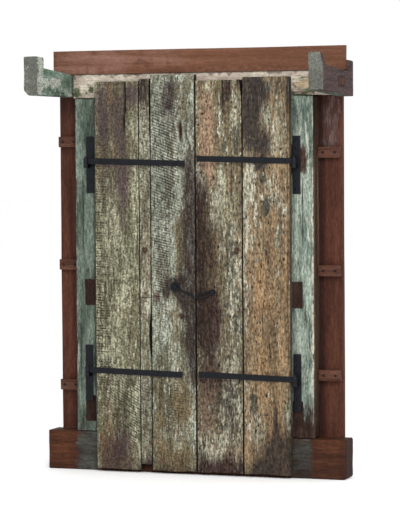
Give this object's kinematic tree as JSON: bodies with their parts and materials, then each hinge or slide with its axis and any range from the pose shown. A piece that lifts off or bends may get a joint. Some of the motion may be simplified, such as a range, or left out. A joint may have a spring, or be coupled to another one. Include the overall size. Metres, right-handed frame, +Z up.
{
  "type": "antique wooden door",
  "caption": "Antique double plank door in a heavy painted timber frame, with hook-and-band iron hinges, forward bracket arms, a top board and a swinging hasp.",
  "frame": {"origin": "centre of the sill's underside, on the floor", "axes": "+Z up, +X to the right seen from the front, +Y from the front to the wall side"},
  "size_m": [1.489, 0.522, 1.964],
  "materials": {
    "red_brown_timber": "worn, bare",
    "mint_painted_timber": "flaking paint",
    "cream_painted_timber": "flaking paint",
    "weathered_plank": "rough sawn, worn paint",
    "bare_ledge_timber": "rough, bare",
    "wrought_iron": "blackened, dull"
  },
  "bodies": {
    "root": {"sill": "red_brown_timber", "jamb_left": "mint_painted_timber", "jamb_right": "mint_painted_timber", "lintel": "cream_painted_timber", "arm_left": "mint_painted_timber", "arm_right": "mint_painted_timber", "arm_plug": "red_brown_timber", "top_board": "red_brown_timber", "back_plank_left": "red_brown_timber", "back_plank_right": "red_brown_timber", "cleat_left_top": "red_brown_timber", "cleat_left_mid": "red_brown_timber", "cleat_left_low": "red_brown_timber", "cleat_right_top": "red_brown_timber", "cleat_right_mid": "red_brown_timber", "cleat_right_low": "red_brown_timber", "cleat_nails": "wrought_iron", "back_nails": "wrought_iron", "pintle_left_top": "wrought_iron", "pintle_left_low": "wrought_iron", "pintle_right_top": "wrought_iron", "pintle_right_low": "wrought_iron", "pintle_screws": "wrought_iron"},
    "left_leaf": {"plank_left_outer": "weathered_plank", "plank_left_middle": "weathered_plank", "plank_left_inner": "weathered_plank", "ledge_left_top": "bare_ledge_timber", "ledge_left_mid": "bare_ledge_timber", "ledge_left_low": "bare_ledge_timber", "strap_left_top": "wrought_iron", "strap_left_low": "wrought_iron", "strap_nails_left": "wrought_iron", "ledge_nails_left": "wrought_iron", "latch_rose": "wrought_iron"},
    "left_hasp": {"latch_bar": "wrought_iron"},
    "right_leaf": {"plank_right_inner": "weathered_plank", "plank_right_outer": "weathered_plank", "ledge_right_top": "bare_ledge_timber", "ledge_right_mid": "bare_ledge_timber", "ledge_right_low": "bare_ledge_timber", "strap_right_top": "wrought_iron", "strap_right_low": "wrought_iron", "strap_nails_right": "wrought_iron", "ledge_nails_right": "wrought_iron", "latch_stud": "wrought_iron"},
    "right_hasp": {"latch_loop": "wrought_iron"}
  },
  "joints": [
    {"name": "left_leaf_swing", "type": "hinge", "parent": "root", "child": "left_leaf", "pos_m": [-0.5125, -0.0995, 1], "axis": [0, 0, -1], "range_deg": [0, 95]},
    {"name": "right_leaf_swing", "type": "hinge", "parent": "root", "child": "right_leaf", "pos_m": [0.5035, -0.0995, 1], "axis": [0, 0, 1], "range_deg": [0, 105]},
    {"name": "hasp_bar_swing", "type": "hinge", "parent": "left_leaf", "child": "left_hasp", "pos_m": [-0.0735, -0.0995, 0.869], "axis": [0, 1, 0], "range_deg": [0, 64]},
    {"name": "hasp_loop_swing", "type": "hinge", "parent": "right_leaf", "child": "right_hasp", "pos_m": [0.1115, -0.0995, 0.846], "axis": [0, -1, 0], "range_deg": [0, 72]}
  ]
}
